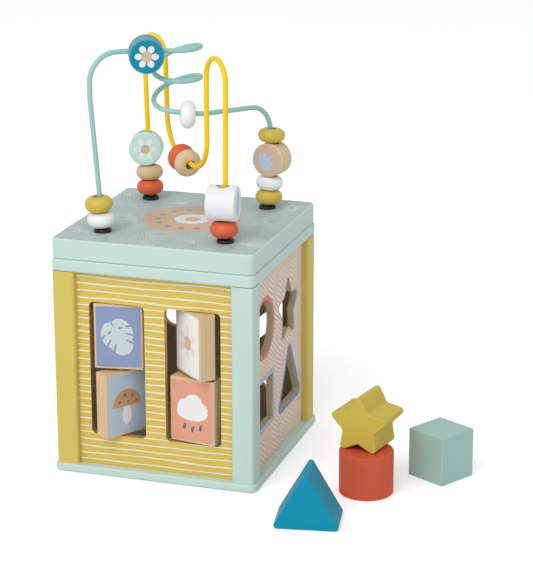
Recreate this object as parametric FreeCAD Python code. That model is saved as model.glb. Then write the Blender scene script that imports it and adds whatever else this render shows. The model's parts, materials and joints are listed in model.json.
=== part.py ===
import FreeCAD, Part
import math
import os

# Wooden activity cube: a shape-sorter box with a bead maze on its lid and four loose sorting blocks.
# Millimetres. The origin is the middle of the base's underside, +Z is up, and the side with the
# turning picture blocks faces -Y. Seen from there, the side with the sorting holes faces +X.

V = FreeCAD.Vector
UP = V(0, 0, 1)
ORIGIN = V(0, 0, 0)

# The cube
POST_SPREAD = 152.4         # over the outer faces of two posts
POST_SIZE = 16.8            # side of a square post
POST_ROUND = 2.2            # its long edges
BODY_HEIGHT = 147.5         # length of a post, from the base to the rim
PANEL_THICK = 5.0
PANEL_RECESS = 5.1          # from a post's outer face in to a panel's outer face
GROOVE_DEPTH = 4.5          # how far a panel stands in a post
GLUE_GAP = 0.05             # all round between pieces that are glued or pressed together
BASE_THICK = 6.0
BASE_OVERHANG = 1.9         # past the posts
BASE_CORNER = 5.0
RIM_HEIGHT = 9.2
RIM_OVERHANG = 0.45
RIM_CORNER = 4.0
RIM_WIDTH = 18.0            # from its outside to the mouth of the box
LID_THICK = 15.3
LID_OVERHANG = 0.25
LID_CORNER = 5.5
PLUG_THICK = 8.0            # the board under the lid that drops into the mouth
PLUG_GAP = 0.8
PLUG_CORNER = 4.0
SOFT_EDGE = 1.5             # sanded edges of the boards
RIM_LOWER_EDGE = 1.8

# Fasteners
SCREW_R = 1.7
SCREW_HEAD_R = 3.6
SCREW_HEAD_HIGH = 2.2
SCREW_SUNK = 0.3
BASE_SCREW_LONG = 26.0
PLUG_SCREW_LONG = 15.0
PLUG_SCREW_OFF = 30.0       # from the middle, each way
DOWEL_R = 2.5
DOWEL_LONG = 13.0
DOWEL_IN_RIM = 5.5

# Turning picture blocks in the front windows
BLOCK_WIDE = 36.3
BLOCK_THICK = 13.0
BLOCK_HIGH = 48.9
BLOCK_ROUND = 1.2
SPIN_ROOM = 1.9             # between a turning block's corner and the window's side
WINDOW_STILE = 9.3          # from a post's inner face to a window
WINDOW_SILL = 30.0          # height of the windows' lower edge
WINDOW_CORNER = 3.6
SILL_GAP = 0.8              # under the lower block
MIDDLE_GAP = 2.0            # between the blocks
TOP_GAP = 0.6               # over the upper block
ROD_R = 1.5
ROD_BEHIND = 1.8            # from the front panel's inner face back to the rods
ROD_SOCKET = 4.0            # how deep a rod stands in the base and in the rim
RUN_GAP = 0.1               # radial clearance of what turns on a rod or pin
SPACER_R = 4.0
SPACER_PLAY = 0.15          # between a spacer and a block
BLOCK_TURNS = {             # (side of the front, row): degrees turned, anticlockwise from above
    ("left", "upper"): 9.7,
    ("left", "lower"): 56.0,
    ("right", "upper"): -42.2,
    ("right", "lower"): -9.2,
}

# Loose sorting blocks and their holes in the right panel
HOLE_ROOM = 0.7             # all round a block in its hole
CYLINDER_R = 19.7
CYLINDER_HIGH = 32.0
CUBE_SIDE = 33.4
CUBE_HIGH = 36.4
STAR_TIP = 25.2             # centre to the star's point before it is rounded
STAR_NOTCH = 13.1           # centre to the notch between two points
STAR_ROUND = 2.8
STAR_DEEP = 32.0
PRISM_SIDE = 48.4           # before its edges are rounded
PRISM_ROUND = 2.2
PRISM_DEEP = 33.0
BLOCK_EDGE = 0.8            # sanded edges of the loose blocks
CIRCLE_HOLE = (-34.0, 111.0)    # along the side and up, from the middle of the base
STAR_HOLE = (23.8, 108.0)
SQUARE_HOLE = (-32.0, 53.3)
TRIANGLE_HOLE = (27.2, 48.8)
CYLINDER_AT = (152.1, -47.8)
STAR_OFFSET = (-1.9, 9.3)   # from the cylinder's axis to the middle of the star that lies on it
STAR_YAW = -11.5
CUBE_AT = (196.2, -1.3)
CUBE_YAW = 60.3
PRISM_AT = (128.0, -112.6)
PRISM_YAW = 9.9

# Winding track in the back panel: along +X, up, and the bend's radius
TRACK_WIDE = 13.0
TRACK_POINTS = [(-34.5, 81.0, 0), (-34.5, 120.0, 10.0), (47.0, 120.0, 10.0), (47.0, 86.8, 0),
                (15.6, 59.6, 10.0), (46.0, 30.3, 0)]
BAY_R = 10.0                # round opening at the track's first end
KNOB_R = 11.0
KNOB_THICK = 9.0
KNOB_DOME = 2.5
KNOB_ROOM = 0.2             # between the knob's neck and the track's side
KNOB_LIFT = 0.3             # between the panel and the knob, and the panel and its washer
WASHER_R = 11.0
WASHER_THICK = 3.0
KNOB_SCREW_LONG = 12.0
KNOB_X = -16.0              # where the knob waits on the track's level run

# Bead maze: heights are above the lid, distances run along the lid's diagonals
WIRE_R = 1.85
ANCHOR_X = 46.8             # the wires' four holes in the lid
ANCHOR_Y = 49.0
WIRE_END_IN = 13.2          # how deep a wire stands in the lid
COLLAR_R = 6.4
COLLAR_TOP_R = 5.0
COLLAR_RING = 1.8           # height of its wide ring
COLLAR_HIGH = 3.0
COLLAR_SPIGOT_R = 4.5
COLLAR_SPIGOT_LONG = 7.0
COLLAR_BORE_GAP = 0.25
NUT_ACROSS = 7.0
NUT_THICK = 3.0
NUT_POCKET_R = 5.2
NUT_POCKET_DEEP = 5.2
KINK = 2.5                  # the wires are upright to here, inside their collars, then lean out
KINK_R = 20.0

FIRST_LEAN = 8.0
FIRST_HUMP = 40.4
FIRST_HUMP_TOP = 128.0
FIRST_HUMP_R = 16.5
DIP_SHIFT = 3.0             # the run down into the dip slopes by this much
DIP_HIGH = 48.8             # corners of the dip, before they are rounded
DIP_HIGH_R = 28.0
DIP_LOW = 41.0
DIP_LOW_R = 23.0
SECOND_HUMP = 32.4
SECOND_HUMP_TOP = 129.5
SECOND_HUMP_R = 15.7
SECOND_LEAN = 2.3

MINT_LEAN = 7.5
MINT_LEAN_TOP = 98.0
MINT_SHOULDER = 130.1
MINT_SHOULDER_R = 20.3
MINT_TURN_R = 32.0          # where it leaves the diagonal for the coil
COIL_MIDDLE = (-6.0, 0.0)
COIL_R = 17.2
COIL_TOP = 131.2
COIL_PITCH = 22.4
COIL_TILT = 3.9             # its turns rise to one side and fall to the other by this much
COIL_HIGH_SIDE = 64.0       # degrees round its middle
COIL_ENTER = -61.0
COIL_LEAVE = 641.0
COIL_STEPS = 32
MINT_EXIT_LONG = 20.0       # from the coil to the wire's last turn in plan
MINT_EXIT_DROP = 1.1
MINT_EXIT_R = 14.0
MINT_END_TOP = 78.4
MINT_END_R = 21.0
MINT_END_LEAN = 3.8

# Beads
BEAD_R = 10.2
BEAD_HIGH = 11.2
TALL_BEAD_HIGH = 11.9       # under the drum
LOW_BEAD_HIGH = 10.4        # the two under the loose wood disc
TOP_BEAD_HIGH = 10.0        # the one on that disc
BEAD_FLAT_R = 5.0           # flat ring round the bore
BEAD_BORE_R = 3.7
BEAD_GAP = 0.3              # between beads that lie on each other
STACK_GAP = 0.8             # between a collar and the lowest bead, which leans
HANG_GAP = 0.4              # between a hanging bead's bore and the wire
DISC_R = 12.7
DISC_THICK = 16.0
DISC_EDGE = 1.2
DISC_BORE_R = 4.8
DRUM_R = 12.8
DRUM_LONG = 21.5
DRUM_EDGE = 1.4
DRUM_TURN = 96.0            # degrees from facing -Y, anticlockwise from above
DISC_SHIFT = 1.8            # the mint disc and the drum hang to one side of their wires
WOOD_DISC_SHIFT = -2.2      # and the wood disc to the other
WHITE_BEAD_SHIFT = 0.5      # so do the beads on three of the legs
MUSTARD_BEAD_SHIFT = 1.1
RED_BEAD_SHIFT = 0.8
BACK_RIGHT_SHIFT = -1.0
SHIFT_WAY = 198.0           # degrees from +X, anticlockwise from above
MINT_DISC_TURN = 15.0
WOOD_DISC_TURN = -10.0
BLUE_DISC_ALONG = 24.6      # along the wire from the coil's start back to the disc's middle
BLUE_DISC_TILT = 3.0
BLUE_DISC_TURN = -5.5       # about the vertical, as its bore lets it
BLUE_DISC_DROP = 2.3
LOOP_BEAD_ALONG = 10.3      # from the coil's end
LOOP_BEAD_TURN = 11.0       # about the vertical, as its bore lets it
LOOP_BEAD_DROP = 1.1
DIP_BEAD_ALONG = 35.6       # from the dip's first corner, before rounding, to the second bead
DIP_BEAD_DROP = 0.9         # how far the first bead hangs, where the wire still curves

post_outer = POST_SPREAD / 2
post_inner = post_outer - POST_SIZE
post_middle = post_outer - POST_SIZE / 2
panel_face = post_outer - PANEL_RECESS
panel_back = panel_face - PANEL_THICK
panel_middle = panel_face - PANEL_THICK / 2
panel_half = post_inner + GROOVE_DEPTH - GLUE_GAP
rod_plane = panel_back - ROD_BEHIND
rim_bottom = BASE_THICK + BODY_HEIGHT
lid_bottom = rim_bottom + RIM_HEIGHT
lid_top = lid_bottom + LID_THICK
base_side = POST_SPREAD + 2 * BASE_OVERHANG
rim_side = POST_SPREAD + 2 * RIM_OVERHANG
lid_side = POST_SPREAD + 2 * LID_OVERHANG
mouth_side = rim_side - 2 * RIM_WIDTH
plug_side = mouth_side - 2 * PLUG_GAP
plug_bottom = lid_bottom - PLUG_THICK

block_reach = math.hypot(BLOCK_WIDE, BLOCK_THICK) / 2
window_half = block_reach + SPIN_ROOM
block_axis = post_inner - WINDOW_STILE - window_half
window_high = SILL_GAP + BLOCK_HIGH + MIDDLE_GAP + BLOCK_HIGH + TOP_GAP
lower_block_bottom = WINDOW_SILL + SILL_GAP
upper_block_bottom = lower_block_bottom + BLOCK_HIGH + MIDDLE_GAP

SIDE_TURNS = {"front": 0, "right": 90, "back": 180, "left": 270}


# Outlines and paths --------------------------------------------------------------------------------

def corner_arc(before, corner, after, radius):
    """Start, middle and end of the arc that rounds one corner of a path."""
    back = (before - corner).normalize()
    ahead = (after - corner).normalize()
    half = back.getAngle(ahead) / 2
    reach = radius / math.tan(half)
    bisector = (back + ahead).normalize()
    middle = corner + bisector * (radius / math.sin(half) - radius)
    return corner + back * reach, middle, corner + ahead * reach


def smooth_radius(before, corner, after):
    """The largest radius that leaves a sliver of both runs straight."""
    back = before - corner
    ahead = after - corner
    half = back.getAngle(ahead) / 2
    return 0.49 * min(back.Length, ahead.Length) * math.tan(half)


def rounded_wire(points, radii, closed):
    """A wire through points whose corners are rounded; a radius of 0 keeps a corner sharp."""
    count = len(points)
    stations = []
    for i, point in enumerate(points):
        is_end = not closed and i in (0, count - 1)
        if is_end or radii[i] == 0:
            stations.append((point, None, point))
        else:
            stations.append(corner_arc(points[i - 1], point, points[(i + 1) % count], radii[i]))
    edges = []
    for i, (start, middle, end) in enumerate(stations):
        if middle is not None:
            edges.append(Part.Arc(start, middle, end).toShape())
        if closed or i < count - 1:
            onward = stations[(i + 1) % count][0]
            if end.distanceToPoint(onward) > 1e-4:
                edges.append(Part.LineSegment(end, onward).toShape())
    return Part.Wire(edges)


def flat_shape(points, radius, height):
    """A prism on a closed outline in the XY plane, with every corner rounded alike."""
    corners = [V(x, y, 0) for x, y in points]
    outline = rounded_wire(corners, [radius] * len(corners), True)
    return Part.Face(outline).extrude(UP * height)


def rectangle(half_x, low_y, high_y, middle_x=0.0):
    left = middle_x - half_x
    right = middle_x + half_x
    return [(left, low_y), (right, low_y), (right, high_y), (left, high_y)]


def star_points(room, middle=(0.0, 0.0)):
    """Ten corners of the star, one point up, grown outward by room."""
    notch_angle = math.pi / 5
    side = math.sqrt(STAR_TIP ** 2 + STAR_NOTCH ** 2 - 2 * STAR_TIP * STAR_NOTCH * math.cos(notch_angle))
    edge_off = STAR_TIP * STAR_NOTCH * math.sin(notch_angle) / side
    grow = (edge_off + room) / edge_off
    points = []
    for i in range(10):
        radius = grow * (STAR_NOTCH if i % 2 else STAR_TIP)
        angle = math.pi / 2 + i * notch_angle
        points.append((middle[0] + radius * math.cos(angle), middle[1] + radius * math.sin(angle)))
    return points


def triangle_points(room, middle=(0.0, 0.0)):
    """Three corners of the prism's end, one point up, grown outward by room."""
    reach = PRISM_SIDE / math.sqrt(3) + 2 * room
    angles = [math.radians(a) for a in (90, 210, 330)]
    return [(middle[0] + reach * math.cos(a), middle[1] + reach * math.sin(a)) for a in angles]


def square_points(room, middle=(0.0, 0.0)):
    half = CUBE_SIDE / 2 + room
    return rectangle(half, middle[1] - half, middle[1] + half, middle[0])


def cylinder(radius, bottom, top, x=0.0, y=0.0):
    return Part.makeCylinder(radius, top - bottom, V(x, y, bottom))


def revolved(profile):
    """A turned piece: profile is a closed list of (radius, height) corners round the Z axis."""
    corners = [V(r, 0, z) for r, z in profile]
    return Part.Face(Part.makePolygon(corners + corners[:1])).revolve(ORIGIN, UP, 360)


def edges_at_height(shape, height):
    return [e for e in shape.Edges if all(abs(v.Z - height) < 1e-6 for v in e.Vertexes)]


def board(side, bottom, thick, corner, low_edge, top_edge):
    """A square board with rounded corners and softened edges."""
    blank = flat_shape(rectangle(side / 2, -side / 2, side / 2), corner, thick)
    blank.translate(UP * bottom)
    blank = blank.makeFillet(low_edge, edges_at_height(blank, bottom))
    return blank.makeFillet(top_edge, edges_at_height(blank, bottom + thick))


def stand_up(shape, side):
    """Stands a shape drawn flat, outside up, on one side of the cube, on the panel's inner face."""
    shape.rotate(ORIGIN, V(1, 0, 0), 90)
    shape.translate(V(0, -panel_back, 0))
    shape.rotate(ORIGIN, UP, SIDE_TURNS[side])
    return shape


def four_corners(x, y):
    return [(sx * x, sy * y) for sx in (-1, 1) for sy in (-1, 1)]


# Fasteners ------------------------------------------------------------------------------------------

def wood_screw(length):
    """A countersunk screw pointing up from its head's face at the origin."""
    head = Part.makeCone(SCREW_HEAD_R, SCREW_R, SCREW_HEAD_HIGH)
    return head.fuse(cylinder(SCREW_R, 0, length)).removeSplitter()


def screw_hole(length):
    """The hole that such a screw leaves, its head sunk a little below the wood."""
    mouth = cylinder(SCREW_HEAD_R + GLUE_GAP, -SCREW_SUNK, 0)
    head = Part.makeCone(SCREW_HEAD_R + GLUE_GAP, SCREW_R + GLUE_GAP, SCREW_HEAD_HIGH)
    return mouth.fuse([head, cylinder(SCREW_R + GLUE_GAP, 0, length + GLUE_GAP)])


def at_corners(make, length, off, bottom):
    """Four screws or their holes, driven up into the wood from one height."""
    shapes = []
    for x, y in four_corners(off, off):
        shape = make(length)
        shape.translate(V(x, y, bottom + SCREW_SUNK))
        shapes.append(shape)
    return shapes


def base_screws(make=wood_screw):
    return at_corners(make, BASE_SCREW_LONG, post_middle, 0)


def plug_screws(make=wood_screw):
    return at_corners(make, PLUG_SCREW_LONG, PLUG_SCREW_OFF, plug_bottom)


def rim_dowels(room=0.0):
    top = rim_bottom + DOWEL_IN_RIM
    spots = four_corners(post_middle, post_middle)
    return [cylinder(DOWEL_R + room, top - DOWEL_LONG - room, top + room, x, y) for x, y in spots]


# The cube -------------------------------------------------------------------------------------------

def base_board():
    blank = board(base_side, 0, BASE_THICK, BASE_CORNER, SOFT_EDGE, SOFT_EDGE)
    return blank.cut(base_screws(screw_hole) + rod_holes())


def corner_post(side_x, side_y):
    """A square post with a groove for each of its two panels."""
    blank = flat_shape(rectangle(POST_SIZE / 2, -POST_SIZE / 2, POST_SIZE / 2), POST_ROUND, BODY_HEIGHT)
    blank.translate(V(side_x * post_middle, side_y * post_middle, BASE_THICK))
    wide = PANEL_THICK + 2 * GLUE_GAP
    deep = 2 * GROOVE_DEPTH
    for turned in (False, True):
        groove = Part.makeBox(deep, wide, BODY_HEIGHT, V(-deep / 2, -wide / 2, BASE_THICK))
        if turned:
            groove.rotate(ORIGIN, UP, 90)
            groove.translate(V(side_x * panel_middle, side_y * post_inner, 0))
        else:
            groove.translate(V(side_x * post_inner, side_y * panel_middle, 0))
        blank = blank.cut(groove)
    return blank.cut(base_screws(screw_hole) + rim_dowels(GLUE_GAP))


def panel_blank():
    return flat_shape(rectangle(panel_half, BASE_THICK, rim_bottom), 0, PANEL_THICK)


def front_panel():
    """Two windows for the picture blocks."""
    panel = panel_blank()
    for x in (-block_axis, block_axis):
        outline = rectangle(window_half, WINDOW_SILL, WINDOW_SILL + window_high, x)
        panel = panel.cut(flat_shape(outline, WINDOW_CORNER, PANEL_THICK))
    return stand_up(panel, "front")


def right_panel():
    """The sorting side: one hole for each loose block."""
    panel = panel_blank()
    circle = cylinder(CYLINDER_R + HOLE_ROOM, 0, PANEL_THICK, *CIRCLE_HOLE)
    star = flat_shape(star_points(HOLE_ROOM, STAR_HOLE), STAR_ROUND, PANEL_THICK)
    square = flat_shape(square_points(HOLE_ROOM, SQUARE_HOLE), BLOCK_EDGE, PANEL_THICK)
    triangle = flat_shape(triangle_points(HOLE_ROOM, TRIANGLE_HOLE), PRISM_ROUND, PANEL_THICK)
    return stand_up(panel.cut([circle, star, square, triangle]), "right")


def track_room(width, depth):
    """The track's winding slot as a solid: a row of straight legs and round bends."""
    corners = [V(-x, z, 0) for x, z, bend in TRACK_POINTS]
    radii = [bend for x, z, bend in TRACK_POINTS]
    line = rounded_wire(corners, radii, False)
    half = width / 2
    pieces = []
    for edge in line.Edges:
        start, end = (v.Point for v in edge.Vertexes)
        pieces.append(cylinder(half, 0, depth, start.x, start.y))
        pieces.append(cylinder(half, 0, depth, end.x, end.y))
        if isinstance(edge.Curve, Part.Circle):
            middle = edge.Curve.Center
            ring = cylinder(edge.Curve.Radius + half, 0, depth, middle.x, middle.y)
            ring = ring.cut(cylinder(edge.Curve.Radius - half, 0, depth, middle.x, middle.y))
            wedge_reach = 4 * (edge.Curve.Radius + half)
            wedge = Part.makePolygon([middle, middle + (start - middle) * wedge_reach,
                                      middle + (start - middle + end - middle) * wedge_reach,
                                      middle + (end - middle) * wedge_reach, middle])
            pieces.append(ring.common(Part.Face(wedge).extrude(UP * depth)))
        else:
            across = (end - start).cross(UP).normalize() * half
            leg = Part.makePolygon([start + across, end + across, end - across, start - across,
                                    start + across])
            pieces.append(Part.Face(leg).extrude(UP * depth))
    return pieces[0].multiFuse(pieces[1:]).removeSplitter()


def back_panel():
    bay_x, bay_z, bend = TRACK_POINTS[0]
    slot = track_room(TRACK_WIDE, PANEL_THICK)
    bay = cylinder(BAY_R, 0, PANEL_THICK, -bay_x, bay_z)
    return stand_up(panel_blank().cut([slot, bay]), "back")


def left_panel():
    return stand_up(panel_blank(), "left")


def upper_rim():
    rim = board(rim_side, rim_bottom, RIM_HEIGHT, RIM_CORNER, RIM_LOWER_EDGE, SOFT_EDGE)
    mouth = flat_shape(rectangle(mouth_side / 2, -mouth_side / 2, mouth_side / 2), PLUG_CORNER, RIM_HEIGHT)
    mouth.translate(UP * rim_bottom)
    return rim.cut([mouth] + rim_dowels(GLUE_GAP) + rod_holes())


def lid_board():
    lid = board(lid_side, lid_bottom, LID_THICK, LID_CORNER, SOFT_EDGE, SOFT_EDGE)
    cuts = plug_screws(screw_hole)
    for x, y in four_corners(ANCHOR_X, ANCHOR_Y):
        cuts.append(cylinder(WIRE_R + 1.0, lid_bottom, lid_top, x, y))
        cuts.append(cylinder(COLLAR_SPIGOT_R + GLUE_GAP, lid_top - COLLAR_SPIGOT_LONG - GLUE_GAP, lid_top, x, y))
        cuts.append(cylinder(NUT_POCKET_R, lid_bottom, lid_bottom + NUT_POCKET_DEEP, x, y))
    return lid.cut(cuts)


def lid_plug():
    plug = flat_shape(rectangle(plug_side / 2, -plug_side / 2, plug_side / 2), PLUG_CORNER, PLUG_THICK)
    plug.translate(UP * plug_bottom)
    return plug.cut(plug_screws(screw_hole))


# Turning picture blocks -----------------------------------------------------------------------------

def spinner_rod(x, room=0.0):
    """A rod behind the front panel, from the base up into the rim."""
    low = BASE_THICK - ROD_SOCKET - room
    high = rim_bottom + ROD_SOCKET + room
    return cylinder(ROD_R + room, low, high, x, -rod_plane)


def rod_holes():
    return [spinner_rod(x, GLUE_GAP) for x in (-block_axis, block_axis)]


def picture_block(x, bottom, turn):
    outline = rectangle(BLOCK_WIDE / 2, -BLOCK_THICK / 2, BLOCK_THICK / 2)
    block = flat_shape(outline, BLOCK_ROUND, BLOCK_HIGH)
    soft = BLOCK_ROUND / 2
    block = block.makeFillet(soft, edges_at_height(block, 0) + edges_at_height(block, BLOCK_HIGH))
    block = block.cut(cylinder(ROD_R + RUN_GAP, 0, BLOCK_HIGH))
    block.rotate(ORIGIN, UP, turn)
    block.translate(V(x, -rod_plane, bottom))
    return block


def spinner_spacers():
    """Small rings on the rods, under each block."""
    rings = []
    middle_bottom = lower_block_bottom + BLOCK_HIGH
    for x in (-block_axis, block_axis):
        spans = [(WINDOW_SILL, lower_block_bottom - SPACER_PLAY),
                 (middle_bottom + SPACER_PLAY, upper_block_bottom - SPACER_PLAY)]
        for low, high in spans:
            ring = cylinder(SPACER_R, low, high, x, -rod_plane)
            rings.append(ring.cut(cylinder(ROD_R + RUN_GAP, low, high, x, -rod_plane)))
    return rings


# Loose sorting blocks -------------------------------------------------------------------------------

def softened(shape):
    return shape.makeFillet(BLOCK_EDGE, edges_at_height(shape, shape.BoundBox.ZMin) +
                            edges_at_height(shape, shape.BoundBox.ZMax))


def sorter_cylinder():
    block = softened(cylinder(CYLINDER_R, 0, CYLINDER_HIGH))
    block.translate(V(CYLINDER_AT[0], CYLINDER_AT[1], 0))
    return block


def sorter_cube():
    block = flat_shape(square_points(0), BLOCK_EDGE, CUBE_HIGH)
    block = softened(block)
    block.rotate(ORIGIN, UP, CUBE_YAW)
    block.translate(V(CUBE_AT[0], CUBE_AT[1], 0))
    return block


def laid_down(block, depth, yaw, x, y, bottom):
    """Tips a prism over so that its point is up, centred on x, y, and stands it at a height."""
    block.translate(UP * (-depth / 2))
    block.rotate(ORIGIN, V(1, 0, 0), 90)
    block.rotate(ORIGIN, UP, yaw)
    block.translate(V(x, y, bottom - block.BoundBox.ZMin))
    return block


def sorter_prism():
    block = softened(flat_shape(triangle_points(0), PRISM_ROUND, PRISM_DEEP))
    return laid_down(block, PRISM_DEEP, PRISM_YAW, PRISM_AT[0], PRISM_AT[1], 0)


def star_foot():
    """Height from the star's lowest point to its middle as it stands on two points."""
    notch_angle = math.pi / 5
    tip_half = math.atan2(STAR_NOTCH * math.sin(notch_angle), STAR_TIP - STAR_NOTCH * math.cos(notch_angle))
    round_middle = STAR_TIP - STAR_ROUND / math.sin(tip_half)
    return round_middle * math.cos(notch_angle) + STAR_ROUND


def sorter_star():
    block = softened(flat_shape(star_points(0), STAR_ROUND, STAR_DEEP))
    block.translate(UP * (-STAR_DEEP / 2))
    block.rotate(ORIGIN, V(1, 0, 0), 90)
    block.rotate(ORIGIN, UP, STAR_YAW)
    x = CYLINDER_AT[0] + STAR_OFFSET[0]
    y = CYLINDER_AT[1] + STAR_OFFSET[1]
    block.translate(V(x, y, CYLINDER_HIGH + BEAD_GAP + star_foot()))
    return block


# Knob in the back track -----------------------------------------------------------------------------

def on_back(shape, spot):
    shape.translate(V(-spot[0], spot[1], 0))
    return stand_up(shape, "back")


def track_knob(spot):
    """A turned knob whose neck runs in the slot."""
    neck = TRACK_WIDE / 2 - KNOB_ROOM
    low = -KNOB_LIFT
    face = PANEL_THICK + KNOB_LIFT
    shoulder = face + KNOB_THICK - KNOB_DOME
    top = face + KNOB_THICK
    corners = [V(0, 0, low), V(neck, 0, low), V(neck, 0, face), V(KNOB_R, 0, face), V(KNOB_R, 0, shoulder)]
    edges = [Part.LineSegment(a, b).toShape() for a, b in zip(corners, corners[1:])]
    dome_r = (KNOB_R ** 2 + KNOB_DOME ** 2) / (2 * KNOB_DOME)
    dome_middle = V(KNOB_R / 2, 0, top - dome_r + math.sqrt(dome_r ** 2 - (KNOB_R / 2) ** 2))
    edges.append(Part.Arc(corners[-1], dome_middle, V(0, 0, top)).toShape())
    edges.append(Part.LineSegment(V(0, 0, top), corners[0]).toShape())
    knob = Part.Face(Part.Wire(edges)).revolve(ORIGIN, UP, 360)
    pilot = cylinder(SCREW_R + GLUE_GAP, low, low + KNOB_SCREW_LONG - WASHER_THICK + SCREW_SUNK + GLUE_GAP)
    return on_back(knob.cut(pilot), spot)


def track_washer(spot):
    washer = cylinder(WASHER_R, -KNOB_LIFT - WASHER_THICK, -KNOB_LIFT)
    hole = screw_hole(KNOB_SCREW_LONG)
    hole.translate(UP * (SCREW_SUNK - KNOB_LIFT - WASHER_THICK))
    return on_back(washer.cut(hole), spot)


def track_screw(spot):
    screw = wood_screw(KNOB_SCREW_LONG)
    screw.translate(UP * (SCREW_SUNK - KNOB_LIFT - WASHER_THICK))
    return on_back(screw, spot)


# Wires ----------------------------------------------------------------------------------------------

yellow_start = V(-ANCHOR_X, ANCHOR_Y, lid_top)
yellow_end = V(ANCHOR_X, -ANCHOR_Y, lid_top)
mint_start = V(-ANCHOR_X, -ANCHOR_Y, lid_top)
mint_end = V(ANCHOR_X, ANCHOR_Y, lid_top)
diagonal = 2 * math.hypot(ANCHOR_X, ANCHOR_Y)


def over_diagonal(start, end, along, height):
    return start + (end - start) * (along / diagonal) + UP * height


def yellow_route():
    """Corners of the yellow wire and their radii: two humps with a dip between them."""
    first_top = FIRST_HUMP - FIRST_LEAN
    second_top = diagonal + SECOND_LEAN
    corners = [
        (0, -WIRE_END_IN, 0),
        (0, KINK, KINK_R),
        (-FIRST_LEAN, FIRST_HUMP_TOP, FIRST_HUMP_R),
        (first_top, FIRST_HUMP_TOP, FIRST_HUMP_R),
        (first_top + DIP_SHIFT, DIP_HIGH, DIP_HIGH_R),
        (second_top - SECOND_HUMP, DIP_LOW, DIP_LOW_R),
        (second_top - SECOND_HUMP, SECOND_HUMP_TOP, SECOND_HUMP_R),
        (second_top, SECOND_HUMP_TOP, SECOND_HUMP_R),
        (diagonal, KINK, KINK_R),
        (diagonal, -WIRE_END_IN, 0),
    ]
    points = [over_diagonal(yellow_start, yellow_end, s, h) for s, h, r in corners]
    return points, [r for s, h, r in corners]


def coil_point(degrees, outward=1.0):
    """A point on the mint wire's coil, which falls as it turns and leans to one side."""
    angle = math.radians(degrees)
    height = COIL_TOP - COIL_PITCH * (degrees - COIL_ENTER) / 360
    height += COIL_TILT * math.cos(math.radians(degrees - COIL_HIGH_SIDE))
    x = COIL_MIDDLE[0] + outward * COIL_R * math.cos(angle)
    y = COIL_MIDDLE[1] + outward * COIL_R * math.sin(angle)
    return V(x, y, lid_top + height)


def coil_heading(degrees):
    angle = math.radians(degrees + 90)
    return V(math.cos(angle), math.sin(angle), 0)


def coil_corners():
    """Corners whose rounding is the coil: they stand outside it, one for each step."""
    step = (COIL_LEAVE - COIL_ENTER) / COIL_STEPS
    outward = 1 / math.cos(math.radians(step / 2))
    return [coil_point(COIL_ENTER + (i + 0.5) * step, outward) for i in range(COIL_STEPS)]


def mint_turn_point():
    """Where the line that runs into the coil crosses the diagonal, in plan."""
    into = coil_heading(COIL_ENTER)
    entry = coil_point(COIL_ENTER)
    way = (mint_end - mint_start) * (1 / diagonal)
    offset = V(entry.x - mint_start.x, entry.y - mint_start.y, 0)
    along = (offset.x * into.y - offset.y * into.x) / (way.x * into.y - way.y * into.x)
    return over_diagonal(mint_start, mint_end, along, MINT_SHOULDER)


def mint_route():
    """Corners of the mint wire and their radii: up, round the coil twice and down again."""
    rise = [(0, -WIRE_END_IN, 0), (0, KINK, KINK_R), (-MINT_LEAN, MINT_LEAN_TOP, KINK_R),
            (-MINT_LEAN, MINT_SHOULDER, MINT_SHOULDER_R)]
    points = [over_diagonal(mint_start, mint_end, s, h) for s, h, r in rise]
    radii = [r for s, h, r in rise]
    points.append(mint_turn_point())
    radii.append(MINT_TURN_R)
    coil = coil_corners()
    points += coil
    points.append(coil_point(COIL_LEAVE) + coil_heading(COIL_LEAVE) * MINT_EXIT_LONG - UP * MINT_EXIT_DROP)
    fall = [(diagonal + MINT_END_LEAN, MINT_END_TOP, MINT_END_R), (diagonal, KINK, KINK_R),
            (diagonal, -WIRE_END_IN, 0)]
    points += [over_diagonal(mint_start, mint_end, s, h) for s, h, r in fall]
    first_coil = len(radii)
    for i in range(first_coil, first_coil + len(coil)):
        radii.append(smooth_radius(points[i - 1], points[i], points[i + 1]))
    return points, radii + [MINT_EXIT_R] + [r for s, h, r in fall]


def bent_wire(route):
    """A round wire swept along straight runs and tangent arcs."""
    points, radii = route
    path = rounded_wire(points, radii, False)
    start = points[0]
    section = Part.Wire(Part.Circle(start, points[1] - start, WIRE_R).toShape())
    sweep = Part.BRepOffsetAPI.MakePipeShell(path)
    sweep.setFrenetMode(False)
    sweep.add(section)
    sweep.build()
    sweep.makeSolid()
    return sweep.shape()


def wire_feet():
    return four_corners(ANCHOR_X, ANCHOR_Y)


def wire_collars():
    """Black plastic collars pressed into the lid round each wire end."""
    bore = WIRE_R + COLLAR_BORE_GAP
    profile = [(bore, -COLLAR_SPIGOT_LONG), (COLLAR_SPIGOT_R, -COLLAR_SPIGOT_LONG),
               (COLLAR_SPIGOT_R, 0), (COLLAR_R, 0), (COLLAR_R, COLLAR_RING),
               (COLLAR_TOP_R, COLLAR_HIGH), (bore, COLLAR_HIGH)]
    collars = []
    for x, y in wire_feet():
        collar = revolved(profile)
        collar = collar.makeFillet(0.5, edges_at_height(collar, COLLAR_RING))
        collar.translate(V(x, y, lid_top))
        collars.append(collar)
    return collars


def wire_nuts():
    bottom = lid_top - WIRE_END_IN + GLUE_GAP
    reach = NUT_ACROSS / math.sqrt(3)
    angles = [math.radians(60 * i) for i in range(6)]
    outline = [(reach * math.cos(a), reach * math.sin(a)) for a in angles]
    nuts = []
    for x, y in wire_feet():
        nut = flat_shape(outline, 0, NUT_THICK).cut(cylinder(WIRE_R + GLUE_GAP, 0, NUT_THICK))
        nut.translate(V(x, y, bottom))
        nuts.append(nut)
    return nuts


# Beads ----------------------------------------------------------------------------------------------

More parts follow.
